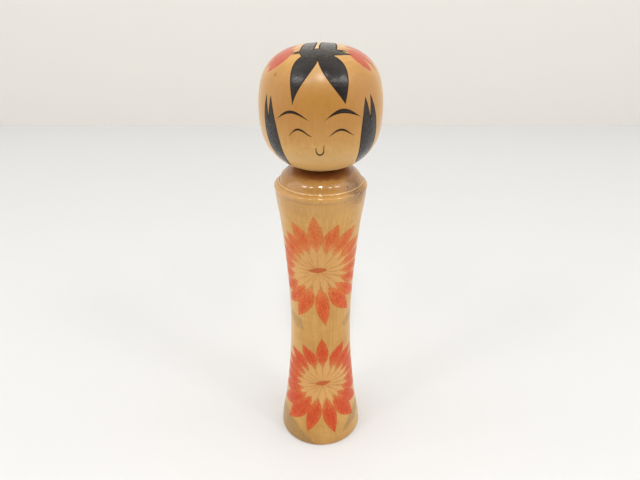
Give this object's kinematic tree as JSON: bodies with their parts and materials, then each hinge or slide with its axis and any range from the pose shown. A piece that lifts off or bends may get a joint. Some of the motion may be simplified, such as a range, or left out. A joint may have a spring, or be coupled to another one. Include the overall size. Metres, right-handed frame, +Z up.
{
  "type": "kokeshi doll",
  "caption": "Turned wooden kokeshi doll: waisted column body with a beaded shoulder and a round head that turns in it on a captive tenon.",
  "frame": {"origin": "middle of the flat base, on the doll's axis", "axes": "+Z up along the axis both pieces are turned about, the painted face and flowers look to -Y, +X is to the right of someone who looks at the face"},
  "size_m": [0.0622, 0.0622, 0.24],
  "materials": {
    "body_wood": "aged mizuki wood, waxed satin, with red chrysanthemums painted on it",
    "head_wood": "aged mizuki wood, waxed satin, with the face, hair and red hair ribbons painted on it"
  },
  "bodies": {
    "body": {"body": "body_wood"},
    "head": {"head": "head_wood"}
  },
  "joints": [
    {"name": "head_turn", "type": "hinge", "parent": "body", "child": "head", "pos_m": [0, 0, 0.17], "axis": [0, 0, 1], "continuous": true}
  ]
}
